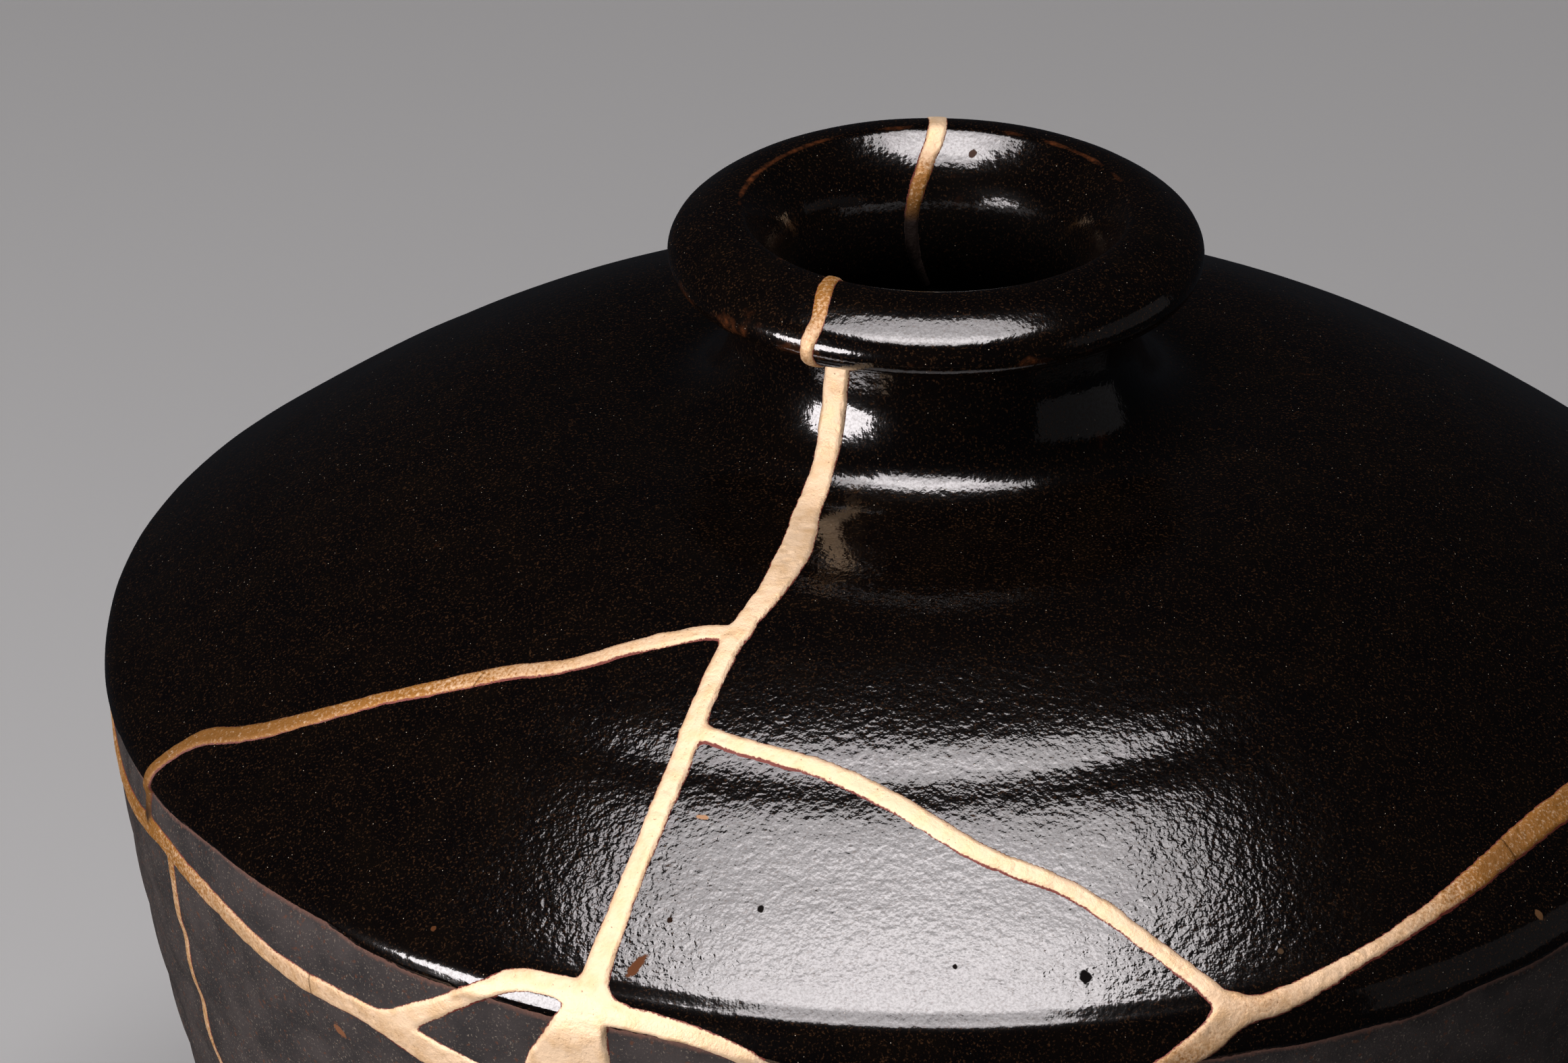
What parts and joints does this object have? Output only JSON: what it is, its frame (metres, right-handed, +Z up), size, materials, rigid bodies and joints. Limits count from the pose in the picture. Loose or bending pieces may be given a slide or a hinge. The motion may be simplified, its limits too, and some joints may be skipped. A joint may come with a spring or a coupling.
{
  "type": "kintsugi jar",
  "caption": "Squat wide-shouldered black-glazed stoneware jar with a short neck and rolled lip, rejoined along its breaks with raised gold seams.",
  "frame": {"origin": "centre of the foot's flat underside, on the jar's axis", "axes": "+Z up along the jar's turning axis, -Y towards the front, where the seams branch over the shoulder, +X to the viewer's right"},
  "size_m": [0.2303, 0.23, 0.2014],
  "materials": {
    "black_glaze": "gloss",
    "bare_stoneware": "matte",
    "gold_on_lacquer": "gold powder burnished over lacquer, satin"
  },
  "bodies": {
    "root": {"shoulder_sherd_left": "black_glaze", "shoulder_sherd_right": "black_glaze", "front_sherd": "black_glaze", "front_left_sherd": "black_glaze", "edge_sherd": "black_glaze", "lower_body": "bare_stoneware", "gold_seams": "gold_on_lacquer"}
  },
  "joints": []
}
